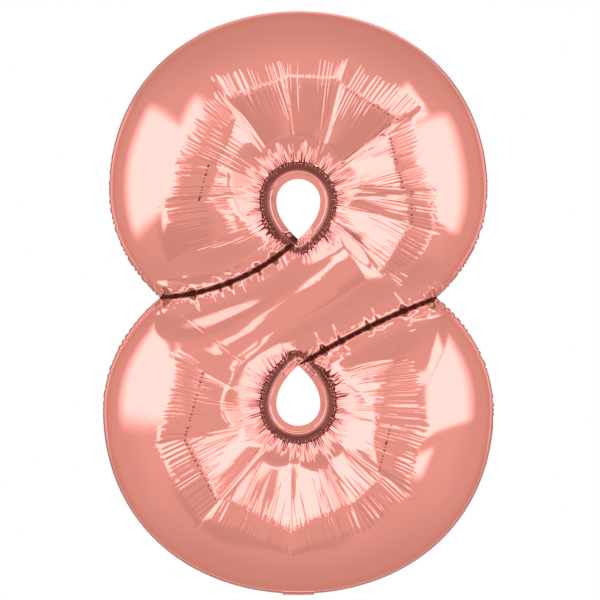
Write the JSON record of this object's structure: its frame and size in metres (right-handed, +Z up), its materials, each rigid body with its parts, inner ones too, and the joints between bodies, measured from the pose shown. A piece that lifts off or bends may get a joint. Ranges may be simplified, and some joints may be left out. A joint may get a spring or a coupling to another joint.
{
  "type": "foil number balloon",
  "caption": "Inflated rose-gold foil balloon in the shape of an eight, with a self-sealing valve in the bottom seam, a folding inflation tail and folding hang tabs.",
  "frame": {"origin": "centre of the bounding box, which is on the seam plane's level in depth within a millimetre and on the figure's middle line", "axes": "+Z up the figure, +X to the right seen from the front, front face towards -Y, seam plane at y = 0"},
  "size_m": [0.5792, 0.216, 0.8668],
  "materials": {
    "rose_gold_foil": "mirror-bright metallised film, crinkled along the seams",
    "fused_seal": "heat-fused film",
    "clear_valve_film": "clear soft polyethylene film",
    "hang_tab_film": "metallised film, two layers fused"
  },
  "bodies": {
    "balloon": {"front_panel": "rose_gold_foil", "back_panel": "rose_gold_foil", "upper_edge_seal": "fused_seal", "lower_left_edge_seal": "fused_seal", "lower_right_edge_seal": "fused_seal", "upper_hole_seal": "fused_seal", "lower_hole_seal": "fused_seal", "upper_slit_seal": "fused_seal", "lower_slit_seal": "fused_seal", "valve_neck_front": "clear_valve_film", "valve_neck_back": "clear_valve_film"},
    "tail": {"tail_film_front": "rose_gold_foil", "tail_film_back": "rose_gold_foil", "tail_seal_left": "fused_seal", "tail_seal_right": "fused_seal", "valve_inlet_front": "clear_valve_film", "valve_inlet_back": "clear_valve_film"},
    "valve_front": {"valve_leaf_front": "clear_valve_film"},
    "valve_back": {"valve_leaf_back": "clear_valve_film"},
    "left_tab": {"left_hang_tab": "hang_tab_film"},
    "right_tab": {"right_hang_tab": "hang_tab_film"}
  },
  "joints": [
    {"name": "tail_fold", "type": "hinge", "parent": "balloon", "child": "tail", "pos_m": [0, 0, -0.43223], "axis": [-1, 0, 0], "range_deg": [0, 175]},
    {"name": "valve_front_open", "type": "hinge", "parent": "balloon", "child": "valve_front", "pos_m": [0, -0.0003, -0.42462], "axis": [1, 0, 0], "range_deg": [0, 8]},
    {"name": "valve_back_open", "type": "hinge", "parent": "balloon", "child": "valve_back", "pos_m": [0, 0.0003, -0.42462], "axis": [-1, 0, 0], "range_deg": [0, 8]},
    {"name": "left_tab_fold", "type": "hinge", "parent": "balloon", "child": "left_tab", "pos_m": [-0.1338, 0, 0.40625], "axis": [0.9072, 0, 0.4206], "range_deg": [0, 175]},
    {"name": "right_tab_fold", "type": "hinge", "parent": "balloon", "child": "right_tab", "pos_m": [0.1338, 0, 0.40625], "axis": [0.9072, 0, -0.4206], "range_deg": [0, 175]}
  ],
  "couplings": [
    {"joint": "valve_back_open", "follows": "valve_front_open", "ratio": 1}
  ]
}
